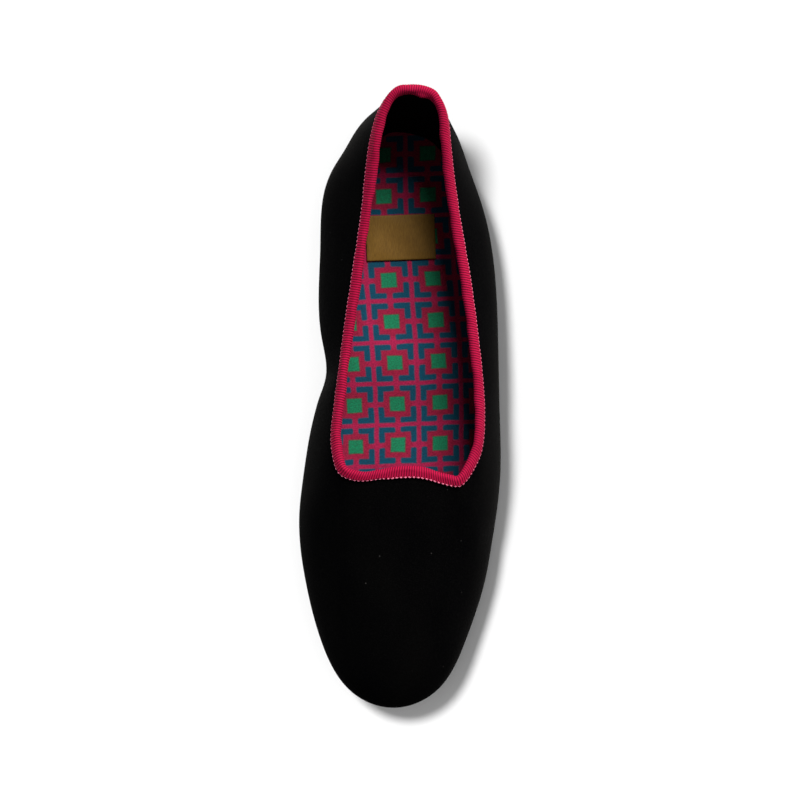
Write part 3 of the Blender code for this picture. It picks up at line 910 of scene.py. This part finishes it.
def label_piece(look):
    """The bare woven label: a thin soft-edged patch that follows the insole."""
    wide, long = LABEL_STEPS
    turn = np.radians(LABEL_TURN)
    points = []
    for side in (1.0, -1.0):
        for j in np.linspace(-0.5, 0.5, long + 1):
            for i in np.linspace(-0.5, 0.5, wide + 1):
                border = min((0.5 - abs(i)) * LABEL_WIDTH, (0.5 - abs(j)) * LABEL_LENGTH)
                x, y = i * LABEL_WIDTH, j * LABEL_LENGTH
                place_x = LABEL_CENTRE[0] + x * np.cos(turn) - y * np.sin(turn)
                place_y = LABEL_CENTRE[1] + x * np.sin(turn) + y * np.cos(turn)
                fullness = LABEL_EDGE + (1.0 - LABEL_EDGE) * smooth(border / LABEL_EDGE_ROUND)
                height = sock_height(place_x, place_y) + GAP + LABEL_THICKNESS / 2
                height += side * fullness * LABEL_THICKNESS / 2
                if side > 0.0:
                    lift = LABEL_LIFT * smooth(border / LABEL_LIFT_OVER)
                    height += lift * (1.0 + np.sin(LABEL_LIFT_WAY[0] * x + LABEL_LIFT_WAY[1] * y))
                points.append((place_x, place_y, height))
    row = wide + 1
    sheet = row * (long + 1)
    faces = []
    for j in range(long):
        for i in range(wide):
            a = j * row + i
            faces.append((a, a + 1, a + row + 1, a + row))
            faces.append((sheet + a, sheet + a + row, sheet + a + row + 1, sheet + a + 1))
    rim = list(range(wide))
    rim += [j * row + wide for j in range(long)]
    rim += [long * row + wide - i for i in range(wide)]
    rim += [(long - j) * row for j in range(long)]
    for a, b in zip(rim, rim[1:] + rim[:1]):
        faces.append((a, sheet + a, sheet + b, b))
    mesh_piece("woven_label", points, faces, look, "label_satin", ["insole_label"])


def groove_ends(loop, y):
    """Where a cross groove at this y ends, short of the field's border on both sides."""
    ahead = np.roll(loop, -1, axis=0) - np.roll(loop, 1, axis=0)
    inward = np.column_stack([ahead[:, 1], -ahead[:, 0]]) / np.linalg.norm(ahead, axis=1)[:, None]
    line = loop + inward * GROOVE_END_GAP
    after = np.roll(line, -1, axis=0)
    ends = []
    for flank in (y - GROOVE_HALF, y, y + GROOVE_HALF):
        spans = (line[:, 1] > flank) != (after[:, 1] > flank)
        if not spans.any():
            return None
        start, end = line[spans], after[spans]
        share = (flank - start[:, 1]) / (end[:, 1] - start[:, 1])
        crossings = start[:, 0] + (end[:, 0] - start[:, 0]) * share
        ends.append((crossings.min(), crossings.max()))
    first = max(low for low, high in ends)
    last = min(high for low, high in ends)
    return (first, last) if last - first > LEAST_GROOVE else None


def groove_cutter(field, loop):
    """A field's grooves as prisms with curved flanks, so that the bars between have rounded edges."""
    points = []
    faces = []
    profile = []
    for off in np.linspace(-1.0, 1.0, GROOVE_PROFILE_STEPS):
        profile.append((GROOVE_HALF * off, GROOVE_DEPTH * (1.0 - abs(off)) ** GROOVE_FLANK_POWER))
    profile += [(GROOVE_HALF, -GROOVE_OVERCUT), (-GROOVE_HALF, -GROOVE_OVERCUT)]
    count = len(profile)
    for i in range(field["count"]):
        y = field["first_y"] - i * field["pitch"]
        ends = groove_ends(loop, y)
        if not ends:
            continue
        slope = (sole_bottom(y + 1.0) - sole_bottom(y - 1.0)) / 2.0
        first = len(points)
        for x in ends:
            for along, deep in profile:
                points.append((x, y + along - slope * deep, sole_bottom(y) + slope * along + deep))
        for k in range(count):
            after = (k + 1) % count
            faces.append((first + k, first + count + k, first + count + after, first + after))
        faces.append([first + k for k in range(count)])
        faces.append([first + count + k for k in range(count)][::-1])
    return points, faces


def field_border(sections, heel):
    """The line round a tread field: in from the sole's edge, and across at its open end."""
    y = sections["sole"][:, 1]
    at_heel = smooth((y - BORDER_HEEL["from_y"]) / BORDER_HEEL["over"])
    at_toe = smooth((BORDER_TOE["from_y"] - y) / BORDER_TOE["over"])
    inset = BORDER_INSET + at_heel * (BORDER_INSET_HEEL - BORDER_INSET)
    inset += at_toe * (BORDER_INSET_TOE - BORDER_INSET)
    plan = inset_outline(sections, "sole", inset)

    def cross(x):
        if heel:
            return HEEL_FIELD_FRONT - HEEL_BORDER_GAP + HEEL_BORDER_BOW * x * x
        inner = np.maximum(FOREFOOT_FIELD_CORNER_X - x, 0.0)
        outer = np.maximum(x - FOREFOOT_FIELD_CORNER_X, 0.0)
        back = FOREFOOT_FIELD_BACK + FOREFOOT_BORDER_GAP
        return back - FOREFOOT_FIELD_SLANT * inner - FOREFOOT_BORDER_BEND * outer**2

    kept = (plan[:, 1] > cross(plan[:, 0])) == heel
    first = int(np.flatnonzero(kept & ~np.roll(kept, 1))[0])
    run = np.roll(plan, -first, axis=0)[np.roll(kept, -first)]
    xs = np.linspace(run[-1, 0], run[0, 0], BORDER_CROSS_STEPS)[1:-1]
    loop = np.concatenate([run, np.column_stack([xs, cross(xs)])])
    steps = np.linalg.norm(np.roll(loop, -1, axis=0) - loop, axis=1)
    covered = np.concatenate([[0.0], np.cumsum(steps)])
    count = int(round(covered[-1] / STITCH_PITCH)) * BORDER_STEPS_A_STITCH
    closed = np.concatenate([loop, loop[:1]])
    places = evenly(count) * covered[-1]
    loop = np.column_stack([np.interp(places, covered, closed[:, axis]) for axis in range(2)])
    for _ in range(BORDER_ROUNDINGS):
        loop = (np.roll(loop, 1, axis=0) + 2.0 * loop + np.roll(loop, -1, axis=0)) / 4.0
    return loop


def tube_rings(loop, radius, sides):
    """A ring of points round each point of a closed line along the sole's underside."""
    ahead = np.roll(loop, -1, axis=0) - np.roll(loop, 1, axis=0)
    across = np.column_stack([ahead[:, 1], -ahead[:, 0]]) / np.linalg.norm(ahead, axis=1)[:, None]
    height = sole_bottom(loop[:, 1])
    rings = []
    for angle in 2.0 * np.pi * evenly(sides):
        plan = loop + across * (radius * np.cos(angle))
        rings.append(np.column_stack([plan, height - radius * np.sin(angle)]))
    return np.stack(rings, axis=1)


def stitches(loop):
    """Moulded stitches lying in the border channel: a rounded bar for each, with its own ends."""
    points = []
    faces = []
    sides = TUBE_SIDES
    stations = np.linspace(-1.0, 1.0, STITCH_STATIONS)
    count = len(loop) // BORDER_STEPS_A_STITCH
    steps = np.linalg.norm(np.roll(loop, -1, axis=0) - loop, axis=1)
    covered = np.concatenate([[0.0], np.cumsum(steps)])
    closed = np.concatenate([loop, loop[:1]])
    for i in range(count):
        first = len(points)
        middle = (i + 0.5) * covered[-1] / count
        for station in stations:
            place = middle + station * STITCH_LENGTH / 2
            ahead = place + STITCH_LOOK_AHEAD
            x, y = [np.interp(place, covered, closed[:, axis]) for axis in range(2)]
            x1, y1 = [np.interp(ahead, covered, closed[:, axis]) for axis in range(2)]
            way = np.array([x1 - x, y1 - y]) / max(np.hypot(x1 - x, y1 - y), 1e-6)
            radius = STITCH_RADIUS * max(1.0 - abs(station) ** STITCH_END_POWER, STITCH_END) ** 0.5
            height = sole_bottom(y) + STITCH_RADIUS + STITCH_CLEARANCE
            for angle in 2.0 * np.pi * evenly(sides):
                off = radius * np.cos(angle)
                points.append((x + way[1] * off, y - way[0] * off, height + radius * np.sin(angle)))
        for k in range(len(stations) - 1):
            for side in range(sides):
                a = first + k * sides + side
                b = first + k * sides + (side + 1) % sides
                faces.append((a, a + sides, b + sides, b))
        faces.append([first + side for side in range(sides)])
        faces.append([len(points) - sides + side for side in range(sides)][::-1])
    return points, faces


def inside(loop, points):
    """Which points lie within a closed line, by counting crossings."""
    after = np.roll(loop, -1, axis=0)
    x, y = points[:, 0:1], points[:, 1:2]
    spans = (loop[:, 1] > y) != (after[:, 1] > y)
    rise = np.where(after[:, 1] == loop[:, 1], 1e-9, after[:, 1] - loop[:, 1])
    crossing = loop[:, 0] + (y - loop[:, 1]) * (after[:, 0] - loop[:, 0]) / rise
    return (spans & (x < crossing)).sum(axis=1) % 2 == 1


def together(shapes):
    """Several shapes, each points and faces, as one."""
    points = []
    faces = []
    for more_points, more_faces in shapes:
        first = len(points)
        points.extend(more_points)
        faces.extend([first + int(i) for i in face] for face in more_faces)
    return points, faces


def cut(piece, name, points, faces):
    """Takes closed shapes out of a piece."""
    shape = bpy.data.meshes.new(name)
    shape.from_pydata((np.asarray(points) * MM).tolist(), [], faces)
    cutter = bpy.data.objects.new(name, shape)
    bpy.context.scene.collection.objects.link(cutter)
    removal = piece.modifiers.new(name, "BOOLEAN")
    removal.operation = "DIFFERENCE"
    removal.solver = "MANIFOLD"
    removal.object = cutter
    applied(piece)
    bpy.data.objects.remove(cutter)


def outsole_piece(look, tread_look):
    """The sole's body, cut by the tread grooves and a stitched channel round each tread field."""
    sections = sections_at(evenly(SOLE_AROUND))
    rings = []
    for turn in np.linspace(0.0, np.pi / 2, SOLE_EDGE_STEPS):
        plan = inset_outline(sections, "sole", EDGE_ROUND * (1.0 - np.sin(turn)))
        rings.append(raised(plan, sole_bottom(plan[:, 1]) + EDGE_ROUND * (1.0 - np.cos(turn))))
    for turn in np.linspace(0.0, np.pi / 2, SOLE_BEVEL_STEPS):
        plan = inset_outline(sections, "sole", TOP_BEVEL * (1.0 - np.cos(turn)))
        rings.append(raised(plan, sole_top(plan[:, 1]) - TOP_BEVEL * (1.0 - np.sin(turn))))
    heights = (lambda x, y: sole_bottom(y)), (lambda x, y: sole_top(y))
    points, faces = plate_mesh(rings, *heights, SOLE_RUNG_STEPS)
    piece = mesh_piece("outsole_moulding", points, faces, look, "sole_rubber", ["outsole"])
    piece.data.materials.append(tread_look)
    cutters = []
    seams = []
    loops = []
    for field, heel in ((HEEL_FIELD, True), (FOREFOOT_FIELD, False)):
        loop = field_border(sections, heel)
        channel = tube_rings(loop, STITCH_CHANNEL, TUBE_SIDES).reshape(-1, 3)
        cutters.append(groove_cutter(field, loop))
        cutters.append((channel, grid_faces(len(loop), TUBE_SIDES, True)))
        seams.append(stitches(loop))
        loops.append(loop)
    cut(piece, "tread", *together(cutters))
    mesh_piece("sole_stitches", *together(seams), tread_look, "sole_rubber")
    centres = np.array([face.center[:] for face in piece.data.polygons]) / MM
    under = np.array([face.normal.z < UNDERSIDE_TILT for face in piece.data.polygons])
    field = under & (inside(loops[0], centres) | inside(loops[1], centres))
    piece.data.polygons.foreach_set("material_index", field.astype(np.int32))
    piece.data.shade_smooth()
    piece.data.set_sharp_from_angle(angle=np.radians(SHARP_ANGLE))


def lamp(receivers, name, kind, place, power, size, colour):
    """A soft lamp aimed at the slipper, which lights only the receivers."""
    source = bpy.data.lights.new(name, kind)
    source.energy = power
    source.color = colour
    if kind == "SUN":
        source.angle = np.radians(size)
    else:
        source.shape = "DISK"
        source.size = size
    made = bpy.data.objects.new(name, source)
    made.location = place
    made.rotation_mode = "QUATERNION"
    made.rotation_quaternion = (-made.location).to_track_quat("-Z", "Y")
    bpy.context.scene.collection.objects.link(made)
    lit = bpy.data.collections.new(name + "_lit")
    for receiver in receivers:
        lit.objects.link(receiver)
    made.light_linking.receiver_collection = lit


def studio():
    """A pale floor, soft light from the outer side of the heel, and the camera straight above."""
    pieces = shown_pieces()
    sheet = bpy.data.meshes.new("floor")
    half = FLOOR_HALF
    corners = [(-half, -half, 0.0), (half, -half, 0.0), (half, half, 0.0), (-half, half, 0.0)]
    sheet.from_pydata(corners, [], [(0, 1, 2, 3)])
    sheet.materials.append(material("floor", (FLOOR_GREY,) * 3, 0.9, Specular_IOR_Level=0.05))
    floor = bpy.data.objects.new("floor", sheet)
    bpy.context.scene.collection.objects.link(floor)
    floor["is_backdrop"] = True

    world = bpy.data.worlds.new("studio")
    world.use_nodes = True
    background = world.node_tree.nodes["Background"]
    background.inputs["Color"].default_value = (1.0, 1.0, 1.0, 1.0)
    background.inputs["Strength"].default_value = WORLD_STRENGTH
    bpy.context.scene.world = world

    for row in SLIPPER_LAMPS:
        lamp(pieces, *row)
    for row in FLOOR_LAMPS:
        lamp([floor], *row)

    lens = bpy.data.cameras.new("overhead")
    lens.sensor_width = CAMERA_SENSOR
    lens.lens = CAMERA_LENS
    camera = bpy.data.objects.new("overhead", lens)
    camera.location = (0.0, 0.0, CAMERA_HEIGHT)
    bpy.context.scene.collection.objects.link(camera)
    bpy.context.scene.camera = camera
    bpy.context.scene.view_settings.view_transform = "Standard"


upper_piece(velvet_material(), lining_material())
ribbon_pieces(ribbon_material(), selvedge_material())
insole_piece(print_material())
label_piece(label_material())
outsole_piece(
    rubber_material("sole_rubber", grain_depth=0.16, roughness=0.5),
    rubber_material("sole_tread", grain_depth=0.02, roughness=0.38),
)
studio()
